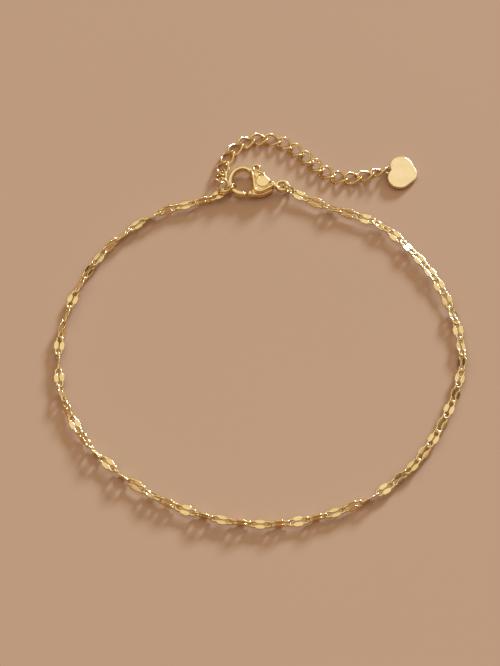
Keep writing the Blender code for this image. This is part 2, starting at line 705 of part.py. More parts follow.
def make_extender(parts, root, gold):
    """Separate curb links that pass through each other."""
    def roll(index, share):
        return table_value(EXTENDER_ROLL, share)

    pitch, middles, frames = link_frames(extender_route(), CURB_PITCH, roll)
    mesh = curve_to_mesh(curb_curve(pitch), "curb_link")
    mesh.materials.append(gold)
    for index, (middle, frame) in enumerate(zip(middles, frames), start=1):
        link = add_object(f"extender_link_{index:02d}", mesh, parts, root)
        link.matrix_local = Matrix.Translation(middle) @ Matrix(frame.T.tolist()).to_4x4()


def centre_on_origin(root, parts):
    """Moves the whole anklet so that the middle of its box is over the origin."""
    bpy.context.view_layer.update()
    graph = bpy.context.evaluated_depsgraph_get()
    corners = []
    for thing in parts.objects:
        if thing.type == "MESH":
            seen = thing.evaluated_get(graph)
            mesh = seen.to_mesh()
            flat = np.empty(len(mesh.vertices) * 3)
            mesh.vertices.foreach_get("co", flat)
            matrix = np.array(thing.matrix_world)
            placed = flat.reshape(-1, 3) @ matrix[:3, :3].T + matrix[:3, 3]
            corners += [placed.min(axis=0), placed.max(axis=0)]
            seen.to_mesh_clear()
    low, high = np.min(corners, axis=0), np.max(corners, axis=0)
    root.location = (-(low[0] + high[0]) / 2, -(low[1] + high[1]) / 2, -low[2])
    bpy.context.view_layer.update()


def main():
    clear_scene()
    parts = make_collection("anklet")
    cutters = make_collection("cutters")
    gold = make_material("gold_plate", GOLD, 0.2)
    pale = make_material("satin_gold_plate", PALE_GOLD, 0.35)
    root = add_object("anklet_root", None, parts)
    make_lip_chain(parts, cutters, root, gold)
    make_clasp_body(parts, cutters, root, gold)
    make_lever(parts, cutters, root, gold)
    make_rivet(parts, root, gold)
    upright_ring("hook_jump_ring", *hook_ring_place(), parts, root, gold)
    upright_ring("eye_jump_ring", *eye_ring_place(), parts, root, gold)
    make_extender(parts, root, gold)
    make_tag(parts, cutters, root, pale)
    centre_on_origin(root, parts)


main()
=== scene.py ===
import math

import bmesh
import bpy
import numpy as np
from mathutils import Matrix, Vector


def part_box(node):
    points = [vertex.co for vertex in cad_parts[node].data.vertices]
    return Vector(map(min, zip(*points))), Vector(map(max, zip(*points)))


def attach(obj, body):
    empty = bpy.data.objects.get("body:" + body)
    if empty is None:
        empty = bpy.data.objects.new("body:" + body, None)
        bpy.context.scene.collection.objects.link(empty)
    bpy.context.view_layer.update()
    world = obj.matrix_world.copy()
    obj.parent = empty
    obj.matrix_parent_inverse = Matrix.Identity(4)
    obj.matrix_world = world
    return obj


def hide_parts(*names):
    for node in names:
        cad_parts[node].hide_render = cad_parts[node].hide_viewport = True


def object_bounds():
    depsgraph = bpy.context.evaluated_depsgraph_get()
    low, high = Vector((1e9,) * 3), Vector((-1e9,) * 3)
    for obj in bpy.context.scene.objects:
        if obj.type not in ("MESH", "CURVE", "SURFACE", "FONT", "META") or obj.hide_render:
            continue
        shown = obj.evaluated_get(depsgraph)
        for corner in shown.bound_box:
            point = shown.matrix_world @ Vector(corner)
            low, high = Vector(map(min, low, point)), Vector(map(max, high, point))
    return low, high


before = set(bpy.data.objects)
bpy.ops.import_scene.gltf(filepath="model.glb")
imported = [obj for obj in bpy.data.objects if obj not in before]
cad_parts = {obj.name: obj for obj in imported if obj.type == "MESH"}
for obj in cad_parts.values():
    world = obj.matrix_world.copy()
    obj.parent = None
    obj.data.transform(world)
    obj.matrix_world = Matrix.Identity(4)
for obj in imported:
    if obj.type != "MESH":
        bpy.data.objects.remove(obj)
cad_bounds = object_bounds()

# All lengths are in metres, in the frame of the solids that the pieces dress, and all angles in degrees.
# PLATED is a wire's width with its plating, FULLNESS and SECTION are powers or shares that fill out a line
# or a section, STATIONS, ROWS, STEPS and SIDES count points, and MELT is a voxel in millimetres and a number
# of settling steps.

# Lip chain
LIP_WIRE = 0.00040
LIP_PLATED = 0.00046
LIP_PITCH = 0.00329
LIP_WIDTH = 0.00196
LIP_HOLD = 0.000165
PADDLE_LENGTH = 0.00158
PADDLE_WIDTH = 0.00092
PADDLE_FULLNESS = 3.4
PADDLE_THICKNESS = 0.00028
PADDLE_SHOULDER = 0.00022
PADDLE_SHOULDER_START = 0.4
PADDLE_SQUARENESS = 3.0
CHAIN_WOBBLE = 11.0
LIP_FLOOR_GAP = 0.00002
LIP_STATIONS = 64
LIP_SIDES = 14
ROUTE_STEP = 0.0002

# Extender
CURB_WIRE = 0.00038
CURB_PITCH = 0.00260
CURB_WIDTH = 0.00252
CURB_TWIST = -45.0
CURB_FULLNESS = 0.85
CURB_PLATED = (0.00054, 0.00044)
CURB_SECTION = 2.5
EXTENDER_SHIFT = 0.00005
CURB_FLOOR_GAP = 0.00002
CURB_STATIONS = 72
CURB_SIDES = 14

# Jump rings
RING_WIRE = 0.00040
RING_OUTER = 0.0027
RING_FLOOR_GAP = 0.00002
RING_SEAM = 2.2
RING_SEAM_PLACE = 118.0
RING_TRIM = 0.000036
RING_STATIONS = 72
RING_SIDES = 18
LINK_CLEARANCE = 0.00010
EYE_RING_ANGLE = -32.0
CHAIN_LIFT = -0.08
EXTENDER_LIFT = 0.2

# Clasp, from its rivet at mid thickness
CLASP_PLACE = (0.00013, 0.03346)
BODY_LENGTH = 0.0040
BODY_WIDTH = 0.0048
BODY_THICKNESS = 0.0024
BODY_EDGE = 0.00022
SHOULDER_WIDTH = 0.00038
SHOULDER_DROP = 0.00026
RIM_WIDTH = 0.00034
RELIEF_DEPTH = 0.00026
RELIEF_SLOPE = 0.00020
BOSS_RADIUS = 0.0012
DOT_RADIUS = 0.00017
DOT_RISE = 0.9
SLOT_HEIGHT = 0.0011
SLOT_LIP = 0.00006
CHEEK_DIRECTIONS = 240
CHEEK_ROWS = 56
CHEEK_EDGE_ROWS = 7
CHEEK_LEAST_SQUARE = 0.5
POST_RADIUS = 0.00022
HOOK_REACH = 0.0064
HOOK_SPAN = 0.0068
HOOK_WIDTH = 0.00084
HOOK_THICKNESS = 0.0011
HOOK_ROOT_THICKNESS = 0.0015
HOOK_FULLNESS = 1.08
HOOK_TIP_FULLNESS = 1.85
HOOK_HEIGHT_LIMIT = 1.12
HOOK_TIP_SWELL = (0.86, 0.24)
HOOK_ROOT_FADE = (0.44, 0.30)
HOOK_SECTION = 2.8
HOOK_SIDES = 28
HOOK_STEP = 0.00055
EYE_DISTANCE = 0.0036
EYE_ANGLE = -6.0
EYE_HOLE = 0.00168
EYE_WIRE = 0.00042
EYE_PLATED = 0.00066
EYE_RADIUS = 0.00098
EYE_THICKNESS = 0.0010
EYE_SECTION = 2.8
EYE_SIDES = 24
NECK_WIDTH = 0.0014
NECK_END_WIDTH = 0.00124
NECK_START_SHARE = 0.30
NECK_SECTION = 2.6
NECK_STATIONS = 24
NECK_SIDES = 24
NECK_CAPS = 3
LEVER_THICKNESS = 0.0009
LEVER_EDGE = 0.00012
GATE_THICKNESS = 0.0013
GATE_RADIUS = 0.00056
GATE_RUN = (-0.3, 2.8)
GATE_DROP = 0.0001
GATE_TAPER = (0.25, 0.3)
GATE_SECTION = 3.2
GATE_STATIONS = 12
GATE_SIDES = 32
GATE_CAPS = 8
KNOB_LOOP = (0.00074, 0.00056)
KNOB_LEAN = -58.0
KNOB_WIRE = 0.00050
KNOB_THICKNESS = 0.0014
KNOB_SECTION = 2.6
KNOB_STATIONS = 56
KNOB_SIDES = 28
RIVET_RADIUS = 0.0003
RIVET_SINK = 0.00002
RIVET_DOME = 0.00006
RIVET_STEPS = 8
OUTLINE_STEP = 0.00012
LEVER_STEP = 0.00010
CLASP_MELT = (0.044, 2)
LEVER_MELT = (0.036, 3)

# Heart tag
TAG_TIP_PLACE = (0.02873, 0.03574)
TAG_ANGLE = -11.0
TAG_LENGTH = 0.0054
TAG_LOBE_RADIUS = 0.00218
TAG_LOBE_SPREAD = 0.0013
TAG_TIP_RADIUS = 0.0017
TAG_THICKNESS = 0.0007
TAG_EDGE = 0.00018
TAG_TILT = 6.5
TAG_LOBE_STEPS = 40
TAG_TIP_STEPS = 24
EYELET_HOLE = 0.00104
EYELET_WIRE = 0.0004
EYELET_INSET = -0.00012
EYELET_STATIONS = 48
EYELET_SIDES = 20
TAG_MELT = (0.05, 5)

# Meshes: doubled points merge within a distance, and the castings' corners settle by a share at each step
MERGE_DISTANCE = 2e-7
MELT_MERGE_MM = 1e-4
SETTLE_FACTOR = 0.5
BOX_MARGIN = 0.000005

# The same routes and outlines as in the solids' source
CHAIN_ROUTE = [
    (-0.0081, 0.0309), (-0.0132, 0.0293), (-0.0175, 0.0279), (-0.0219, 0.0256), (-0.0287, 0.0190),
    (-0.0334, 0.0107), (-0.0360, 0.0009), (-0.0357, -0.0087), (-0.0321, -0.0180), (-0.0255, -0.0257),
    (-0.0172, -0.0316), (-0.0083, -0.0350), (0.0015, -0.0362), (0.0111, -0.0344), (0.0199, -0.0304),
    (0.0271, -0.0238), (0.0324, -0.0148), (0.0355, -0.0051), (0.0346, 0.0046), (0.0308, 0.0140),
    (0.0246, 0.0221), (0.0199, 0.0258), (0.0172, 0.0267), (0.0112, 0.0290), (0.0077, 0.0306),
]
EXTENDER_ROUTE = [
    (-0.0080, 0.0347, 0.0009), (-0.0075, 0.0364, 0.0001), (-0.0068, 0.0392, 0.0), (-0.0052, 0.0417, 0.0),
    (-0.0029, 0.0434, 0.0), (-0.0003, 0.0440, 0.0), (0.0027, 0.0436, 0.0), (0.0055, 0.0421, 0.0),
    (0.0080, 0.0399, 0.0), (0.0103, 0.0376, 0.0), (0.0128, 0.0358, 0.0), (0.0156, 0.0351, 0.0),
    (0.0183, 0.0355, 0.00006), (0.0206, 0.0361, 0.00034),
]
CHAIN_TWIST = [
    (0.00, 15), (0.03, 0), (0.08, 90), (0.13, 0), (0.18, 90), (0.225, 0),
    (0.26, 0), (0.305, 90), (0.355, 0), (0.435, 90), (0.565, 90), (0.61, 0),
    (0.73, 0), (0.775, 90), (0.84, 0), (0.935, 0), (0.965, 80), (1.00, 0),
]
CHAIN_LEAN = [
    (0.00, 0.05), (0.12, 0.10), (0.22, 0.25), (0.32, 0.25), (0.42, 0.05), (0.60, 0.05),
    (0.64, 0.65), (0.72, 0.65), (0.80, 0.76), (0.93, 0.76), (1.00, 0.30),
]
EXTENDER_ROLL = [(0.00, -30), (0.12, 0), (0.87, 0), (0.94, -15), (1.00, -35)]
BODY_OUTLINE = [
    (-0.57, 0.52), (-0.52, 0.31), (-0.475, 0.08), (-0.45, -0.17), (-0.385, -0.385), (-0.20, -0.48),
    (0.01, -0.455), (0.21, -0.36), (0.40, -0.27), (0.51, -0.17), (0.50, -0.02), (0.375, 0.105),
    (0.19, 0.285), (-0.01, 0.435), (-0.225, 0.54), (-0.425, 0.57),
]
FACET_CORNERS = [(-0.43, 0.40), (-0.29, 0.10), (-0.08, 0.37)]
DOT_SHARE = (0.37, -0.10)
HOOK_ROOT_SHARE = (-0.44, 0.40, 1.15)
HOOK_SECTIONS = [
    (-0.406, 0.868, 1.00), (-0.566, 0.994, 0.93), (-0.711, 0.912, 0.95), (-0.828, 0.735, 1.00),
    (-0.909, 0.471, 1.04), (-0.941, 0.162, 1.05), (-0.922, -0.147, 1.02), (-0.852, -0.382, 0.95),
    (-0.750, -0.541, 0.84), (-0.628, -0.624, 0.70), (-0.5125, -0.668, 0.50),
]
HOOK_RING_SHARE = 0.735
LEVER_OUTLINE = [
    (-0.23, 0.05), (-0.28, -0.10), (-0.38, -0.24), (-0.54, -0.33), (-0.68, -0.37), (-0.72, -0.44),
    (-0.66, -0.51), (-0.42, -0.525), (-0.19, -0.525), (0.02, -0.505), (0.22, -0.43), (0.40, -0.34),
    (0.46, -0.28), (0.39, -0.24), (0.26, -0.15), (0.25, 0.02), (0.15, 0.19), (0.00, 0.36),
    (-0.10, 0.49), (-0.18, 0.60), (-0.31, 0.60), (-0.29, 0.45), (-0.24, 0.28),
]
GATE_SHARE = (-0.575, -0.4375)
GATE_LENGTH_SHARE = 0.10
KNOB_SHARE = (-0.285, 0.685)
SLOT_MOUTHS = [(58.0, 118.0), (186.0, 332.0)]
SLOT_MOUTH_SLOPE = 5.0
SHOULDER_ARC = (2.0, 78.0)
SHOULDER_SLOPE = 16.0

# Light: each glow has its azimuth, its elevation, and the angles at which it is full and gone
OVERHEAD = (0.0, 90.0, 16.0, 82.0)
WINDOW = (84.0, 58.0, 18.0, 62.0)
SIDE = (185.0, 38.0, 4.0, 30.0)
ROOM_STRENGTH = 0.06
OVERHEAD_STRENGTH = 0.55
WINDOW_STRENGTH = 0.32
SIDE_STRENGTH = 0.35
ROOM_COLOUR = (1.0, 0.73, 0.51, 1.0)
WINDOW_COLOUR = (1.0, 0.93, 0.77, 1.0)
KEY_STRENGTH = 3.5
KEY_SPREAD = 12.0
KEY_COLOUR = (0.68, 0.86, 1.0)
KEY_AZIMUTH = 60.0
KEY_ELEVATION = 19.0
TABLE_REACH = 3.0

# Camera and picture
CAMERA_ELEVATION = 60.0
CAMERA_DISTANCE = 0.5
CAMERA_NEAR = 0.01
PIXELS_PER_METRE = 5600.0
PICTURE = (500, 666)
MIDDLE_PIXEL = (262, 345)

# Small uneven lie of the links, the same in every run
wobble = np.random.default_rng(11)


# Lines

def smooth_through(points, spacing, closed=False):
    """Catmull-Rom curve: each stretch is a cubic through its ends that leaves along its neighbours' chord."""
    points = np.asarray(points, float)
    if closed:
        ring = np.vstack([points[-1], points, points[:2]])
    else:
        ring = np.vstack([2 * points[0] - points[1], points, 2 * points[-1] - points[-2]])
    pieces = []
    for before, start, end, after in zip(ring[:-3], ring[1:-2], ring[2:-1], ring[3:]):
        steps = max(1, round(float(np.linalg.norm((end - start)[:2])) / spacing))
        t = np.linspace(0.0, 1.0, steps, endpoint=False)[:, None]
        pieces.append(0.5 * (2 * start + (end - before) * t
                             + (2 * before - 5 * start + 4 * end - after) * t ** 2
                             + (3 * start - before - 3 * end + after) * t ** 3))
    if not closed:
        pieces.append(points[-1:])
    return np.vstack(pieces)


def along(route, distances):
    """Points at distances along a fine route."""
    travelled = np.concatenate([[0.0], np.cumsum(np.linalg.norm(np.diff(route, axis=0), axis=1))])
    return np.column_stack([np.interp(distances, travelled, route[:, k]) for k in range(route.shape[1])])


def unit(vectors):
    """Vectors of length one."""
    return vectors / np.linalg.norm(vectors, axis=-1, keepdims=True)


def link_frames(route, nominal_pitch, rolls):
    """Equal chords along a route: a link's middle, and its directions along, across and up after a roll."""
    length = float(np.linalg.norm(np.diff(route, axis=0), axis=1).sum())
    count = max(2, round(length / nominal_pitch))
    ends = along(route, np.linspace(0.0, length, count + 1))
    forward = unit(ends[1:] - ends[:-1])
    across = unit(np.cross((0.0, 0.0, 1.0), forward))
    up = np.cross(forward, across)
    roll = np.radians(rolls(np.arange(count), np.arange(count) / (count - 1)))[:, None]
    frames = np.stack([
        forward, np.cos(roll) * across + np.sin(roll) * up, np.cos(roll) * up - np.sin(roll) * across,
    ], axis=1)
    return length / count, 0.5 * (ends[:-1] + ends[1:]), frames


def table_values(table, shares):
    """Reads a two-column table between its rows."""
    columns = np.asarray(table, float)
    return np.interp(shares, columns[:, 0], columns[:, 1])


# Surfaces: arrays of points, rows along the piece and columns round it

def round_section(sides, power=2.0):
    """Superellipse: cosine and sine of even angles, each raised to 2 / power with its sign kept."""
    angle = 2 * np.pi * np.arange(sides) / sides
    pair = np.column_stack([np.cos(angle), np.sin(angle)])
    return np.sign(pair) * np.abs(pair) ** (2.0 / power)


def swept(line, side, lift, half_side, half_lift, section):
    """Each point of the line, plus the section's first number times half_side along side, plus its second
    times half_lift along lift."""
    half_side = np.broadcast_to(half_side, len(line))[:, None, None]
    half_lift = np.broadcast_to(half_lift, len(line))[:, None, None]
    section = np.broadcast_to(section, (len(line),) + section.shape[-2:])
    return (line[:, None, :] + side[:, None, :] * half_side * section[:, :, :1]
            + lift[:, None, :] * half_lift * section[:, :, 1:])


def rod(line, half_side, half_lift, section, caps=6):
    """Section carried along an open line, with ends that close as a quarter ellipse: the section shrinks by
    the cosine of an angle while its place runs out by the angle's sine times the end's half width."""
    tangent = unit(np.gradient(line, axis=0))
    half_side = np.broadcast_to(half_side, len(line)).astype(float)
    half_lift = np.broadcast_to(half_lift, len(line)).astype(float)
    turn = np.linspace(0.0, np.pi / 2, caps + 1)[1:]
    shrink, run = np.cos(turn), np.sin(turn)
    start = line[0] - tangent[0] * half_side[0] * run[::-1, None]
    end = line[-1] + tangent[-1] * half_side[-1] * run[:, None]
    full_line = np.vstack([start, line, end])
    full_tangent = np.vstack([np.repeat(tangent[:1], caps, 0), tangent, np.repeat(tangent[-1:], caps, 0)])
    wide = np.concatenate([half_side[0] * shrink[::-1], half_side, half_side[-1] * shrink])
    tall = np.concatenate([half_lift[0] * shrink[::-1], half_lift, half_lift[-1] * shrink])
    side = unit(np.cross((0.0, 0.0, 1.0), full_tangent))
    return swept(full_line, side, np.cross(full_tangent, side), wide, tall, section)


def torus(radius, half_side, half_lift, section, stations=64):
    """Section carried round a level circle about zero."""
    angle = 2 * np.pi * np.arange(stations) / stations
    outward = np.column_stack([np.cos(angle), np.sin(angle), np.zeros(stations)])
    lift = np.broadcast_to((0.0, 0.0, 1.0), outward.shape)
    return swept(radius * outward, outward, lift, half_side, half_lift, section)


def turned(profile, stations=48):
    """Profile of radius and height turned about the upright axis."""
    radius, height = np.asarray(profile, float).T
    angle = 2 * np.pi * np.arange(stations) / stations
    return np.stack([
        radius[:, None] * np.cos(angle), radius[:, None] * np.sin(angle),
        np.broadcast_to(height[:, None], (len(radius), stations)),
    ], axis=-1)


def offset_outline(outline, distance):
    """Anticlockwise outline moved inwards along its own normals by a distance."""
    run = unit(np.roll(outline, -1, axis=0) - np.roll(outline, 1, axis=0))
    return outline + distance * np.column_stack([-run[:, 1], run[:, 0]])


def plate(outline, half_thickness, edge, steps=6):
    """Outline with a quarter-round edge above and below: inset by edge times one minus the cosine of an
    angle, at a height of the half thickness less edge times one minus the angle's sine."""
    angle = np.linspace(np.pi / 2, -np.pi / 2, 2 * steps)
    inward = edge * (1 - np.cos(angle))
    height = np.sign(angle) * (half_thickness - edge * (1 - np.abs(np.sin(angle))))
    return np.stack([
        np.column_stack([offset_outline(outline, step), np.full(len(outline), level)])
        for step, level in zip(inward, height)
    ])


def lip_link(pitch):
    """Stadium of wire in the link's plane. Near the middle of each long side the half width follows a
    squarish oval and the half thickness sinks to the paddle's, and the section goes from round to nearly
    flat."""
    half_length = 0.5 * (pitch + LIP_WIRE)
    bend = 0.5 * (LIP_WIDTH - PADDLE_WIDTH)
    straight = half_length - bend
    arc = np.pi * bend
    lap = 4 * straight + 2 * arc
    place = lap * (np.arange(LIP_STATIONS) + 0.5) / LIP_STATIONS
    half_lap = place % (lap / 2)
    on_arc = np.clip(half_lap - 2 * straight, 0.0, None)
    turn = on_arc / bend
    on_side = half_lap < 2 * straight
    flip = np.where(place < lap / 2, 1.0, -1.0)
    along_x = np.where(on_side, straight - half_lap, -straight - bend * np.sin(turn)) * flip
    across_y = np.where(on_side, bend, bend * np.cos(turn)) * flip
    out_x = np.where(on_side, 0.0, -np.sin(turn)) * flip
    out_y = np.where(on_side, 1.0, np.cos(turn)) * flip
    line = np.column_stack([along_x, across_y, np.zeros(LIP_STATIONS)])
    side = np.column_stack([out_x, out_y, np.zeros(LIP_STATIONS)])
    lift = np.broadcast_to((0.0, 0.0, 1.0), line.shape)
    from_middle = np.where(on_side, np.abs(half_lap - straight), 1.0)
    reach = np.clip(from_middle / (0.5 * PADDLE_LENGTH), 0.0, 1.0)
    oval = (1 - reach ** PADDLE_FULLNESS) ** (1 / PADDLE_FULLNESS)
    half_side = np.maximum(0.5 * LIP_PLATED, 0.5 * PADDLE_WIDTH * oval)
    flat = np.clip((0.5 * PADDLE_LENGTH - from_middle) / PADDLE_SHOULDER + PADDLE_SHOULDER_START, 0.0, 1.0)
    flat = flat * flat * (3 - 2 * flat)
    half_lift = 0.5 * (LIP_PLATED + (PADDLE_THICKNESS - LIP_PLATED) * flat)
    pair = round_section(LIP_SIDES)
    power = (2.0 / (2.0 + PADDLE_SQUARENESS * flat))[:, None, None]
    section = np.sign(pair) * np.abs(pair) ** power
    return swept(line, side, lift, half_side, half_lift, section)


def curb_link(pitch):
    """Full oval whose ends turn opposite ways about its long axis: the turn follows the place along it."""
    half_length = 0.5 * (pitch + CURB_WIRE + LINK_CLEARANCE)
    half_width = 0.5 * (CURB_WIDTH - CURB_WIRE)
    angle = 2 * np.pi * (np.arange(CURB_STATIONS) + 0.5) / CURB_STATIONS
    lengthwise = np.sign(np.cos(angle)) * np.abs(np.cos(angle)) ** CURB_FULLNESS
    sideways = half_width * np.sign(np.sin(angle)) * np.abs(np.sin(angle)) ** CURB_FULLNESS
    twist = math.radians(CURB_TWIST) * lengthwise
    line = np.column_stack([half_length * lengthwise, sideways * np.cos(twist), sideways * np.sin(twist)])
    tangent = unit(np.roll(line, -1, axis=0) - np.roll(line, 1, axis=0))
    up = np.column_stack([np.zeros(CURB_STATIONS), -np.sin(twist), np.cos(twist)])
    side = unit(np.cross(tangent, up))
    return swept(line, side, np.cross(side, tangent), CURB_PLATED[0] / 2, CURB_PLATED[1] / 2,
                 round_section(CURB_SIDES, CURB_SECTION))


def star_radius(outline, angles):
    """Distance from zero to an outline in each direction."""
    direction = np.arctan2(outline[:, 1], outline[:, 0])
    order = np.argsort(direction)
    return np.interp(angles, direction[order], np.hypot(*outline.T)[order], period=2 * np.pi)


def smooth_step(value, width):
    """Rises from 0 to 1 while the value goes from minus to plus half the width."""
    t = np.clip(value / width + 0.5, 0.0, 1.0)
    return t * t * (3 - 2 * t)


def relief_height(x, y, from_edge):
    """Height of the cheek: sunk between a rim at its edge, a round boss, a three-cornered facet and a dot."""
    boss = smooth_step(BOSS_RADIUS - np.hypot(x, y), RELIEF_SLOPE)
    rim = smooth_step(RIM_WIDTH - from_edge, RELIEF_SLOPE)
    corners = scaled(FACET_CORNERS)
    inside = np.full(x.shape, 1.0)
    for first, second in zip(corners, np.roll(corners, -1, axis=0)):
        run = (second - first) / np.linalg.norm(second - first)
        inside = np.minimum(inside, run[0] * (y - first[1]) - run[1] * (x - first[0]))
    facet = smooth_step(inside, RELIEF_SLOPE)
    dot_x, dot_y = scaled([DOT_SHARE])[0]
    dot = DOT_RISE * smooth_step(DOT_RADIUS - np.hypot(x - dot_x, y - dot_y), RELIEF_SLOPE)
    raised = np.maximum(np.maximum(boss, rim), np.maximum(facet, dot))
    return BODY_THICKNESS / 2 - RELIEF_DEPTH * (1 - raised)


def clasp_shell(outline):
    """Closed skin of the two cheeks, by direction from the rivet and by step from the top's middle to the
    underside's middle: over the relief, round the rim's edge, down the side, into the lever's slot as deep as
    its mouth lets in that direction, and the same way back below."""
    angles = 2 * np.pi * np.arange(CHEEK_DIRECTIONS) / CHEEK_DIRECTIONS
    reach = star_radius(outline, angles)
    heading = np.stack([np.cos(angles), np.sin(angles)], axis=-1)
    run = unit(np.roll(reach[:, None] * heading, -1, axis=0) - np.roll(reach[:, None] * heading, 1, axis=0))
    square = np.clip(run[:, 1] * heading[:, 0] - run[:, 0] * heading[:, 1], CHEEK_LEAST_SQUARE, 1.0)
    degrees = np.degrees(angles)
    depth = np.zeros(len(angles))
    for start, end in SLOT_MOUTHS:
        depth = np.maximum(depth, smooth_step(np.minimum(degrees - start, end - degrees), SLOT_MOUTH_SLOPE))
    slope = smooth_step(np.minimum(degrees - SHOULDER_ARC[0], SHOULDER_ARC[1] - degrees), SHOULDER_SLOPE)
    width = (BODY_EDGE + SHOULDER_WIDTH * slope) / square
    drop = BODY_EDGE + SHOULDER_DROP * slope
    rows = []

    def row(radius, height):
        rows.append(np.column_stack([radius[:, None] * heading, np.broadcast_to(height, radius.shape)]))

    top = reach - width
    for share in np.linspace(0.0, 1.0, CHEEK_ROWS)[1:]:
        radius = top * share
        x, y = (radius[:, None] * heading).T
        row(radius, relief_height(x, y, (top - radius) * square + BODY_EDGE / 2))
    for angle in np.linspace(0.0, np.pi / 2, CHEEK_EDGE_ROWS)[1:]:
        row(reach - width * (1 - np.sin(angle)), BODY_THICKNESS / 2 - drop * (1 - np.cos(angle)))
    row(reach, SLOT_HEIGHT / 2 + SLOT_LIP)
    row(reach - SLOT_LIP * depth, SLOT_HEIGHT / 2)
    inner = reach + (POST_RADIUS - reach) * depth
    row(0.5 * (reach + inner), SLOT_HEIGHT / 2)
    row(inner, SLOT_HEIGHT / 2)
    rows = [np.column_stack([np.zeros((len(angles), 2)), np.full(len(angles), BODY_THICKNESS / 2)])] + rows
    upper = np.stack(rows)
    return np.concatenate([upper, (upper * (1.0, 1.0, -1.0))[::-1]])


def scaled(outline):
    """Shares of the clasp's length and width as places."""
    return np.asarray(outline, float)[:, :2] * (BODY_LENGTH, BODY_WIDTH)


def heart_outline():
    """Two lobe arcs and a tip arc joined by straight sides, anticlockwise from the notch's lower side."""
    lobe = np.array([TAG_LOBE_RADIUS, TAG_LOBE_SPREAD])
    tip = np.array([TAG_LENGTH - TAG_TIP_RADIUS, 0.0])
    lean = math.atan2(tip[1] - lobe[1], tip[0] - lobe[0])
    side = lean + math.acos((TAG_LOBE_RADIUS - TAG_TIP_RADIUS) / np.linalg.norm(tip - lobe))
    notch = math.pi - math.asin(-TAG_LOBE_SPREAD / TAG_LOBE_RADIUS)

    def arc(centre, radius, start, end, steps):
        angle = np.linspace(start, end, steps + 1)
        return centre + radius * np.column_stack([np.cos(angle), np.sin(angle)])

    upper = arc(lobe, TAG_LOBE_RADIUS, side, notch, TAG_LOBE_STEPS)
    lower = upper[::-1] * (1.0, -1.0)
    return np.vstack([lower[1:], arc(tip, TAG_TIP_RADIUS, -side, side, TAG_TIP_STEPS), upper])


# Meshes

def surface_faces(rows, columns, wrap_rows, first=0):
    """Quads of a grid that closes round its columns, and round its rows too where it is a ring."""
    row, column = np.meshgrid(np.arange(rows if wrap_rows else rows - 1), np.arange(columns), indexing="ij")
    after, beside = (row + 1) % rows, (column + 1) % columns
    corners = [
        row * columns + column, after * columns + column, after * columns + beside, row * columns + beside]
    return first + np.stack(corners, axis=-1).reshape(-1, 4)


def mesh_of(name, surfaces):
    """One mesh of several surfaces, each given as its points, whether it is a ring, and whether its first
    and last rows are closed by a flat face."""
    points, faces, first = [], [], 0
    for grid, ring, capped in surfaces:
        rows, columns = grid.shape[:2]
        points.append(grid.reshape(-1, 3))
        faces += surface_faces(rows, columns, ring, first).tolist()
        if capped:
            faces.append((first + np.arange(columns))[::-1].tolist())
            faces.append((first + (rows - 1) * columns + np.arange(columns)).tolist())
        first += rows * columns
    mesh = bpy.data.meshes.new(name)
    mesh.from_pydata(np.vstack(points).tolist(), [], faces)
    return mesh


def close_up(mesh, distance):
    """Merges the points that lie within a distance of each other and turns the faces outwards."""
    shape = bmesh.new()
    shape.from_mesh(mesh)
    bmesh.ops.remove_doubles(shape, verts=shape.verts, dist=distance)
    bmesh.ops.recalc_face_normals(shape, faces=shape.faces)
    shape.to_mesh(mesh)
    shape.free()


def put_in(name, data):
    """Links a new object with this mesh, lamp or camera to the scene."""
    thing = bpy.data.objects.new(name, data)
    bpy.context.scene.collection.objects.link(thing)
    return thing


def dress(name, mesh, finish, nodes, body="anklet"):
    """Puts a finished mesh into the scene in place of the solids that it stands for."""
    close_up(mesh, MERGE_DISTANCE)
    mesh.shade_smooth()
    piece = put_in(name, mesh)
    mesh.materials.append(finish)
    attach(piece, body)
    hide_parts(*nodes)
    return piece


def cast(name, surfaces, place, grain, settle):
    """Melts closed surfaces that run into each other into one skin, by voxels of the grain's size, and
    softens its inner corners in a number of settling steps. The work is done in millimetres in the piece's
    own frame, and the skin is then set in its place."""
    rough = mesh_of(name + "_rough", [(1000.0 * grid, ring, capped) for grid, ring, capped in surfaces])
    close_up(rough, MELT_MERGE_MM)
    holder = put_in(name + "_rough", rough)
    melt = holder.modifiers.new("melt", "REMESH")
    melt.mode = "VOXEL"
    melt.voxel_size = grain
    calm = holder.modifiers.new("calm", "SMOOTH")
    calm.factor = SETTLE_FACTOR
    calm.iterations = settle
    bpy.context.view_layer.update()
    graph = bpy.context.evaluated_depsgraph_get()
    skin = bpy.data.meshes.new_from_object(holder.evaluated_get(graph))
    skin.name = name
    bpy.data.objects.remove(holder, do_unlink=True)
    bpy.data.meshes.remove(rough)
    skin.transform(place @ Matrix.Scale(0.001, 4))
    return skin


# Places

rivet_low, rivet_high = (np.array(corner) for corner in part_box("clasp_rivet"))
ROOT = np.array([*(0.5 * (rivet_low + rivet_high)[:2] - CLASP_PLACE), 0.0])
CLASP_ORIGIN = np.array([*CLASP_PLACE, BODY_THICKNESS / 2])


def at_clasp():
    """Place of the clasp's own frame."""
    return Matrix.Translation(Vector(ROOT + CLASP_ORIGIN))


def hook_line():
    """Middle line of the hook with its width as a third column."""
    root_x, root_y, root_width = HOOK_ROOT_SHARE
    rows = [(root_x * BODY_LENGTH, root_y * BODY_WIDTH, root_width * HOOK_WIDTH)]
    rows += [(x * HOOK_REACH, y * HOOK_SPAN / 2, share * HOOK_WIDTH) for x, y, share in HOOK_SECTIONS]
    return rows


def eye_centre():
    """Middle of the clasp's eye from the rivet."""
    angle = math.radians(EYE_ANGLE)
    return EYE_DISTANCE * np.array([math.cos(angle), math.sin(angle), 0.0])


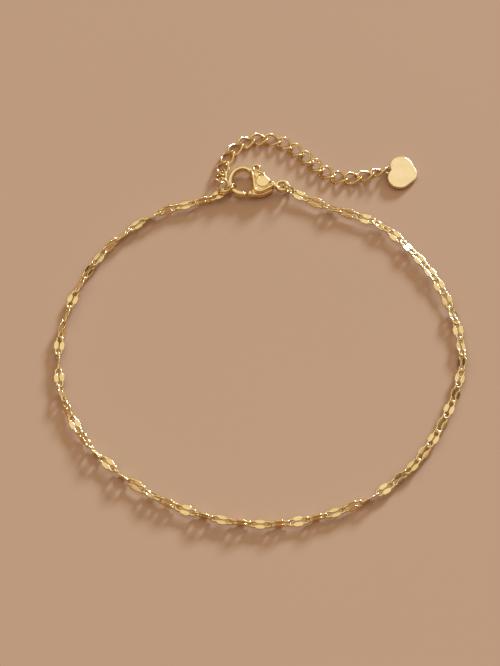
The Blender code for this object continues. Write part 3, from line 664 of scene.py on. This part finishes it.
def hook_ring_place():
    """Centre of the ring on the hook and the level direction away from the clasp's opening."""
    line = smooth_through(hook_line(), HOOK_STEP)
    travelled = np.concatenate([[0.0], np.cumsum(np.linalg.norm(np.diff(line[:, :2], axis=0), axis=1))])
    target = HOOK_RING_SHARE * travelled[-1]
    x, y, width = (float(np.interp(target, travelled, line[:, k])) for k in range(3))
    nearest = int(np.clip(np.searchsorted(travelled, target), 1, len(line) - 1))
    run = unit(line[nearest, :2] - line[nearest - 1, :2])
    outward = np.array([run[1], -run[0], 0.0])
    outward *= np.sign(outward[0] * x + outward[1] * y)
    reach = RING_OUTER / 2 - RING_WIRE - width / 2 - 2 * LINK_CLEARANCE
    centre = CLASP_ORIGIN + (x, y, 0.0) + outward * reach
    centre[2] = RING_OUTER / 2 + RING_FLOOR_GAP
    return centre, outward


def eye_ring_place():
    """Centre of the ring in the clasp's eye and the level direction away from the clasp."""
    angle = math.radians(EYE_RING_ANGLE)
    outward = np.array([math.cos(angle), math.sin(angle), 0.0])
    inner = RING_OUTER / 2 - RING_WIRE
    centre = CLASP_ORIGIN + eye_centre() + outward * (EYE_HOLE / 2 + EYE_WIRE / 2 + 0.5 * (inner - EYE_WIRE))
    centre[2] = RING_OUTER / 2 + RING_FLOOR_GAP
    return centre, outward


def hold_point(centre, outward, lift, towards, extra):
    """Point where a link rests against the outer side of an upright ring."""
    radius = (RING_OUTER - RING_WIRE) / 2
    wire = centre + outward * math.sqrt(radius ** 2 - lift ** 2) + (0.0, 0.0, lift)
    lead = unit(np.array([towards[0] - wire[0], towards[1] - wire[1], 0.0]))
    return wire - lead * (RING_WIRE / 2 + extra)


def chain_route():
    """Middle line of the lip chain from ring to ring."""
    level = LIP_WIDTH / 2 + LIP_FLOOR_GAP
    start = hold_point(*hook_ring_place(), CHAIN_LIFT * RING_OUTER, CHAIN_ROUTE[0], LIP_HOLD)
    end = hold_point(*eye_ring_place(), CHAIN_LIFT * RING_OUTER, CHAIN_ROUTE[-1], LIP_HOLD)
    return smooth_through([start] + [(x, y, level) for x, y in CHAIN_ROUTE] + [end], ROUTE_STEP)


def tag_matrix():
    """Place of the tag's own frame, its tip lower than its eyelet."""
    angle, tilt = math.radians(TAG_ANGLE), math.radians(TAG_TILT)
    origin = Vector((
        ROOT[0] + TAG_TIP_PLACE[0] - TAG_LENGTH * math.cos(angle),
        ROOT[1] + TAG_TIP_PLACE[1] - TAG_LENGTH * math.sin(angle),
        TAG_LENGTH * math.sin(tilt) + TAG_THICKNESS / 2 * math.cos(tilt),
    ))
    return Matrix.Translation(origin) @ Matrix.Rotation(angle, 4, "Z") @ Matrix.Rotation(tilt, 4, "Y")


def extender_route():
    """Middle line of the extender from the ring on the hook to the tag's eyelet."""
    rise = curb_link(CURB_PITCH)[:, :, 2].max() - (CURB_PLATED[0] - CURB_WIRE) / 2
    start = hold_point(*hook_ring_place(), EXTENDER_LIFT * RING_OUTER, EXTENDER_ROUTE[0], LINK_CLEARANCE / 2)
    local = Vector((EYELET_INSET - EYELET_HOLE / 2 + LINK_CLEARANCE / 2, 0.0, 0.0))
    end = np.array(tag_matrix() @ local) - ROOT
    level = rise + CURB_FLOOR_GAP
    return smooth_through([start] + [(x, y, level + h) for x, y, h in EXTENDER_ROUTE] + [end], ROUTE_STEP)


# Finishes

# Limits between which a pattern changes: noise for patches and smears, and pointiness for the painted shade
# in hollow corners, which are darkest at the first and plain at the second
PATCHES = (0.35, 0.65)
SMEARS = (0.3, 0.7)
HOLLOWS = (0.440, 0.497)
SMEARS_PER_PATCH = 2.7
TABLE_TONES = ((0.580, 0.366, 0.240, 1.0), (0.606, 0.384, 0.253, 1.0))
TABLE_PATCH = 9.0
TABLE_ROUGHNESS = 0.75


class Level:
    """One output of a node. Arithmetic on it adds Math nodes to the same finish."""

    def __init__(self, finish, socket):
        self.finish, self.socket = finish, socket

    def maths(self, operation, other):
        """Math node of this level and another level or number."""
        return self.finish.node("ShaderNodeMath", {"operation": operation}, {0: self, 1: other})

    def __add__(self, other):
        return self.maths("ADD", other)

    def __mul__(self, other):
        return self.maths("MULTIPLY", other)

    __radd__ = __add__
    __rmul__ = __mul__


class Finish:
    """Node tree of one finish."""

    def __init__(self, owner):
        owner.use_nodes = True
        self.owner, self.tree = owner, owner.node_tree
        self.tree.nodes.clear()

    def node(self, kind, settings=None, sockets=None, output=0):
        """Adds a node: its settings first, then its sockets' values or links. Gives one of its outputs."""
        made = self.tree.nodes.new(kind)
        for key, value in (settings or {}).items():
            setattr(made, key, value)
        for key, value in (sockets or {}).items():
            if isinstance(value, Level):
                self.tree.links.new(value.socket, made.inputs[key])
            else:
                made.inputs[key].default_value = value
        return Level(self, made.outputs[output]) if made.outputs else made

    def mix(self, factor, first, second):
        """Colour between two colours."""
        return self.node("ShaderNodeMix", {"data_type": "RGBA"}, {0: factor, 6: first, 7: second}, 2)

    def noise(self, scale, detail=2.0, stretch=None):
        """Noise on the object's own coordinates, from 0 to 1, stretched where asked."""
        place = self.node("ShaderNodeTexCoord", output=3)
        if stretch:
            place = self.node("ShaderNodeMapping", sockets={"Vector": place, "Scale": stretch})
        return self.node("ShaderNodeTexNoise", sockets={"Vector": place, "Scale": scale, "Detail": detail})

    def spread(self, value, low, high, new_low, new_high):
        """Stretches the part of a value between two limits to new limits."""
        return self.node("ShaderNodeMapRange", {"interpolation_type": "SMOOTHSTEP"}, {
            "Value": value, "From Min": low, "From Max": high, "To Min": new_low, "To Max": new_high,
        })


def gold_finish(name, bright, deep, patch, dents, dent_depth, rough, grain=None, painted_corner_shade=None):
    """Gold plate: two tones in soft patches, slightly uneven polish, and shallow dents that bend reflections,
    with a fine stretched grain and painted shade darkening the hollow corners where asked. Patches, dents and
    grain are scales of noise per metre."""
    finish = Finish(bpy.data.materials.new(name))
    patches = finish.spread(finish.noise(patch), *PATCHES, 0.0, 1.0)
    colour = finish.mix(patches, bright, deep)
    if painted_corner_shade:
        # Painted shade: pointiness darkens the hollow corners towards a dark brown gold in place of their
        # shade
        hollow = finish.node("ShaderNodeNewGeometry", output="Pointiness")
        colour = finish.mix(finish.spread(hollow, *HOLLOWS, 1.0, 0.0), colour, painted_corner_shade)
    roughness = finish.spread(finish.noise(patch * SMEARS_PER_PATCH, 3.0), *SMEARS, *rough)
    relief = finish.noise(dents, 1.0)
    if grain:
        relief = relief + finish.noise(grain[0], 2.0, grain[1]) * grain[2]
    normal = finish.node("ShaderNodeBump", sockets={
        "Height": relief, "Distance": dent_depth, "Strength": 1.0})
    shader = finish.node("ShaderNodeBsdfPrincipled", sockets={
        "Base Color": colour, "Metallic": 1.0, "Roughness": roughness, "Normal": normal,
    })
    finish.node("ShaderNodeOutputMaterial", sockets={"Surface": shader})
    return finish.owner


def table_finish():
    """Smooth painted board of a pale tan."""
    finish = Finish(bpy.data.materials.new("pale_tan_board"))
    colour = finish.mix(finish.noise(TABLE_PATCH), *TABLE_TONES)
    shader = finish.node("ShaderNodeBsdfPrincipled", sockets={
        "Base Color": colour, "Roughness": TABLE_ROUGHNESS})
    finish.node("ShaderNodeOutputMaterial", sockets={"Surface": shader})
    return finish.owner


# Pieces

chain_gold = gold_finish(
    "chain_gold_plate", bright=(0.96, 0.75, 0.40, 1.0), deep=(0.91, 0.68, 0.32, 1.0),
    patch=420.0, dents=1100.0, dent_depth=0.000014, rough=(0.10, 0.22))
# The clasp's dark brown gold in its hollow corners is painted shade
clasp_gold = gold_finish(
    "clasp_gold_plate", bright=(0.97, 0.76, 0.40, 1.0), deep=(0.93, 0.70, 0.34, 1.0),
    patch=260.0, dents=700.0, dent_depth=0.000010, rough=(0.13, 0.24), painted_corner_shade=(0.36, 0.18, 0.04, 1.0))
tag_gold = gold_finish(
    "satin_gold_plate", bright=(0.98, 0.77, 0.47, 1.0), deep=(0.95, 0.73, 0.43, 1.0),
    patch=500.0, dents=600.0, dent_depth=0.000006, rough=(0.22, 0.27), grain=(1600.0, (1.0, 6.0, 1.0), 0.35))


def within_reach(points):
    """Presses the few points that stand proud of the solids' box back to its faces."""
    return np.clip(points, np.add(cad_bounds[0], BOX_MARGIN), np.subtract(cad_bounds[1], BOX_MARGIN))


def chain_rolls(index, share):
    """Slow twist with every second link turned by a right angle, then each link leaning over from standing
    up by a share of its angle, least for one that nearly lies flat: the share times the angle over 90."""
    standing = 90.0 - (90.0 - table_values(CHAIN_TWIST, share) - 90.0 * (index % 2)) % 180.0
    return standing * (1.0 - table_values(CHAIN_LEAN, share) * np.abs(standing) / 90.0)


def lip_chain():
    """Every link is the same surface carried to its own frame, turned a little."""
    pitch, middles, frames = link_frames(chain_route(), LIP_PITCH, chain_rolls)
    uneven = np.radians(wobble.uniform(-CHAIN_WOBBLE, CHAIN_WOBBLE, len(middles)))[:, None]
    across = np.cos(uneven) * frames[:, 1] + np.sin(uneven) * frames[:, 2]
    up = np.cos(uneven) * frames[:, 2] - np.sin(uneven) * frames[:, 1]
    frames = np.stack([frames[:, 0], across, up], axis=1)
    link = lip_link(pitch)
    placed = within_reach(np.einsum("sqk,nkd->nsqd", link, frames) + middles[:, None, None, :] + ROOT)
    return mesh_of("lip_chain_links", [(grid, True, False) for grid in placed])


def extender_links():
    """Each curb link's own mesh, in its place."""
    pitch, middles, frames = link_frames(
        extender_route(), CURB_PITCH, lambda index, share: table_values(EXTENDER_ROLL, share))
    placed = np.einsum("sqk,nkd->nsqd", curb_link(pitch), frames) + middles[:, None, None, :] + ROOT
    placed = within_reach(placed - (0.0, EXTENDER_SHIFT, 0.0))
    return [
        mesh_of(f"curb_link_{number:02d}", [(grid, True, False)]) for number, grid in enumerate(placed, 1)]


def jump_ring(name, centre, outward):
    """Round wire bent round an upright circle, its two ends nearly meeting at a seam."""
    seam = math.radians(RING_SEAM)
    angle = np.linspace(seam / 2, 2 * np.pi - seam / 2, RING_STATIONS) + math.radians(RING_SEAM_PLACE)
    radius = (RING_OUTER - RING_WIRE) / 2 - RING_TRIM
    line = np.column_stack([radius * np.cos(angle), radius * np.sin(angle), np.zeros(len(angle))])
    side = unit(line)
    lift = np.broadcast_to((0.0, 0.0, 1.0), line.shape)
    grid = swept(line, side, lift, RING_WIRE / 2, RING_WIRE / 2, round_section(RING_SIDES))
    upright = np.array([0.0, 0.0, 1.0])
    axes = np.stack([outward, upright, np.cross(outward, upright)])
    return mesh_of(name, [(grid @ axes + centre + ROOT, False, True)])


def clasp_body():
    """Cheeks, hook, neck and eye, melted into one casting. The hook swells towards its tip and is thickest
    at its root, and the neck goes evenly from the cheeks to the eye."""
    outline = smooth_through(scaled(BODY_OUTLINE), OUTLINE_STEP, closed=True)
    line = smooth_through(hook_line(), OUTLINE_STEP)
    flat = np.column_stack([line[:, :2], np.zeros(len(line))])
    share = np.linspace(0.0, 1.0, len(line))
    swell = smooth_step(share - HOOK_TIP_SWELL[0], HOOK_TIP_SWELL[1])
    fade = smooth_step(HOOK_ROOT_FADE[0] - share, HOOK_ROOT_FADE[1])
    fullness = HOOK_FULLNESS + (HOOK_TIP_FULLNESS - HOOK_FULLNESS) * swell
    height = HOOK_THICKNESS + (HOOK_ROOT_THICKNESS - HOOK_THICKNESS) * fade
    wide = fullness * line[:, 2]
    tall = np.minimum(wide, HOOK_HEIGHT_LIMIT * HOOK_WIDTH) / 2 * height / HOOK_WIDTH
    hook = rod(flat, wide / 2, tall, round_section(HOOK_SIDES, HOOK_SECTION))
    centre = eye_centre()
    eye = torus(EYE_RADIUS, EYE_PLATED / 2, EYE_THICKNESS / 2, round_section(EYE_SIDES, EYE_SECTION)) + centre
    neck_end = EYE_DISTANCE - (EYE_HOLE + EYE_WIRE) / 2
    reach = np.linspace(NECK_START_SHARE * BODY_LENGTH, neck_end, NECK_STATIONS)[:, None]
    share = np.linspace(0.0, 1.0, NECK_STATIONS)
    neck = rod(unit(centre) * reach, 0.5 * (NECK_WIDTH * (1 - share) + NECK_END_WIDTH * share),
               0.5 * (NECK_WIDTH * (1 - share) + EYE_THICKNESS * share),
               round_section(NECK_SIDES, NECK_SECTION), NECK_CAPS)
    surfaces = [
        (clasp_shell(outline), False, False), (hook, False, False), (neck, False, False), (eye, True, False)]
    return cast("clasp_casting", surfaces, at_clasp(), *CLASP_MELT)


def clasp_lever():
    """Flat lever with a thick rounded gate end and a knob, an oval loop of flat band, melted into one."""
    outline = smooth_through(scaled(LEVER_OUTLINE), LEVER_STEP, closed=True)
    gate_x, gate_y = scaled([GATE_SHARE])[0]
    half = GATE_LENGTH_SHARE * BODY_LENGTH / 2
    share = np.linspace(0.0, 1.0, GATE_STATIONS)
    gate_line = np.column_stack([
        gate_x + GATE_RUN[0] * half + GATE_RUN[1] * half * share, gate_y - GATE_DROP * share,
        np.zeros(len(share))])
    gate = rod(gate_line, GATE_RADIUS * (1 - GATE_TAPER[0] * share),
               GATE_THICKNESS / 2 * (1 - GATE_TAPER[1] * share ** 2), round_section(GATE_SIDES, GATE_SECTION),
               GATE_CAPS)
    knob_x, knob_y = scaled([KNOB_SHARE])[0]
    angle = 2 * np.pi * np.arange(KNOB_STATIONS) / KNOB_STATIONS
    lean = math.radians(KNOB_LEAN)
    long_way, short_way = KNOB_LOOP[0] * np.cos(angle), KNOB_LOOP[1] * np.sin(angle)
    loop = np.column_stack([
        long_way * math.cos(lean) - short_way * math.sin(lean),
        long_way * math.sin(lean) + short_way * math.cos(lean), np.zeros(len(angle))])
    outward = unit(np.cross(np.roll(loop, -1, axis=0) - np.roll(loop, 1, axis=0), (0.0, 0.0, 1.0)))
    upright = np.broadcast_to((0.0, 0.0, 1.0), loop.shape)
    knob = swept(
        loop, outward, upright, KNOB_WIRE / 2, KNOB_THICKNESS / 2, round_section(KNOB_SIDES, KNOB_SECTION))
    surfaces = [
        (plate(outline, LEVER_THICKNESS / 2, LEVER_EDGE), False, True), (gate, False, False),
        (knob + (knob_x, knob_y, 0.0), True, False),
    ]
    return cast("clasp_lever_casting", surfaces, at_clasp(), *LEVER_MELT)


def clasp_rivet():
    """Pin with slightly domed heads, flush with the bosses."""
    angle = np.linspace(0.0, np.pi / 2, RIVET_STEPS)
    top = BODY_THICKNESS / 2 - RIVET_SINK
    head = np.column_stack([RIVET_RADIUS * np.cos(angle), top - RIVET_DOME + RIVET_DOME * np.sin(angle)])
    grid = turned(np.vstack([(head * (1.0, -1.0))[::-1], head])) + ROOT + CLASP_ORIGIN
    return mesh_of("clasp_rivet_pin", [(grid, False, False)])


def heart_tag():
    """Heart plate with a rounded edge and a wire eyelet in its notch, melted into one piece."""
    eyelet = torus((EYELET_HOLE + EYELET_WIRE) / 2, EYELET_WIRE / 2, EYELET_WIRE / 2,
                   round_section(EYELET_SIDES), EYELET_STATIONS)
    surfaces = [
        (plate(heart_outline(), TAG_THICKNESS / 2, TAG_EDGE), False, True),
        (eyelet + (EYELET_INSET, 0.0, 0.0), True, False),
    ]
    return cast("heart_tag_plate", surfaces, tag_matrix(), *TAG_MELT)


dress("lip_chain_links", lip_chain(), chain_gold, ["lip_chain"])
for number, mesh in enumerate(extender_links(), 1):
    dress(mesh.name, mesh, chain_gold, [f"extender_link_{number:02d}"])
dress("hook_ring_wire", jump_ring("hook_ring_wire", *hook_ring_place()), chain_gold, ["hook_jump_ring"])
dress("eye_ring_wire", jump_ring("eye_ring_wire", *eye_ring_place()), chain_gold, ["eye_jump_ring"])
dress("clasp_casting", clasp_body(), clasp_gold, ["clasp_body"])
dress("clasp_lever_casting", clasp_lever(), clasp_gold, ["clasp_lever"], body="lever")
dress("clasp_rivet_pin", clasp_rivet(), clasp_gold, ["clasp_rivet"])
dress("heart_tag_plate", heart_tag(), tag_gold, ["heart_tag"])


# Table, light and camera

def lay_table():
    """Large level board under the anklet."""
    mesh = bpy.data.meshes.new("table")
    corners = [(x * TABLE_REACH, y * TABLE_REACH, 0.0) for x, y in ((-1, -1), (1, -1), (1, 1), (-1, 1))]
    mesh.from_pydata(corners, [], [(0, 1, 2, 3)])
    mesh.materials.append(table_finish())
    put_in("table", mesh)


def heading_of(azimuth, elevation):
    """Direction from the anklet towards an azimuth and an elevation in degrees."""
    azimuth, elevation = math.radians(azimuth), math.radians(elevation)
    return Vector((math.cos(azimuth) * math.cos(elevation), math.sin(azimuth) * math.cos(elevation),
                   math.sin(elevation)))


def light_room():
    """Warm room that darkens towards the horizon, one wide soft window high behind the anklet, a small glow
    at its left, and a low soft key from the back right."""
    world = bpy.data.worlds.new("soft_window_room")
    bpy.context.scene.world = world
    room = Finish(world)
    heading = room.node("ShaderNodeTexCoord", output=0)

    def glow(azimuth, elevation, inner, outer):
        """Soft disc of sky: the dot product with its direction, between the cosines of two angles."""
        facing = room.node("ShaderNodeVectorMath", {"operation": "DOT_PRODUCT"},
                           {0: heading, 1: heading_of(azimuth, elevation)}, 1)
        return room.spread(facing, math.cos(math.radians(outer)), math.cos(math.radians(inner)), 0.0, 1.0)

    window = glow(*WINDOW)
    strength = (ROOM_STRENGTH + glow(*OVERHEAD) * OVERHEAD_STRENGTH + window * WINDOW_STRENGTH
                + glow(*SIDE) * SIDE_STRENGTH)
    colour = room.mix(window, ROOM_COLOUR, WINDOW_COLOUR)
    sky = room.node("ShaderNodeBackground", sockets={"Color": colour, "Strength": strength})
    room.node("ShaderNodeOutputWorld", sockets={"Surface": sky})

    lamp = bpy.data.lights.new("key", "SUN")
    lamp.energy = KEY_STRENGTH
    lamp.angle = math.radians(KEY_SPREAD)
    lamp.color = KEY_COLOUR
    key = put_in("key", lamp)
    key.rotation_mode = "QUATERNION"
    key.rotation_quaternion = heading_of(KEY_AZIMUTH, KEY_ELEVATION).to_track_quat("Z", "Y")


def place_camera():
    """Camera at the picture's angle, its lens shifted so that the route's zero falls on its pixel."""
    elevation = math.radians(CAMERA_ELEVATION)
    camera = bpy.data.cameras.new("camera")
    long_side = max(PICTURE)
    camera.lens = PIXELS_PER_METRE * CAMERA_DISTANCE * camera.sensor_width / long_side
    camera.shift_x = (PICTURE[0] / 2 - MIDDLE_PIXEL[0]) / long_side
    camera.shift_y = (MIDDLE_PIXEL[1] - PICTURE[1] / 2) / long_side
    holder = put_in("camera", camera)
    back = Vector((0.0, -math.cos(elevation), math.sin(elevation)))
    holder.location = Vector(ROOT) + back * CAMERA_DISTANCE
    holder.rotation_euler = (math.pi / 2 - elevation, 0.0, 0.0)
    camera.clip_start = CAMERA_NEAR
    bpy.context.scene.camera = holder


lay_table()
light_room()
place_camera()
bpy.context.scene.view_settings.view_transform = "Standard"
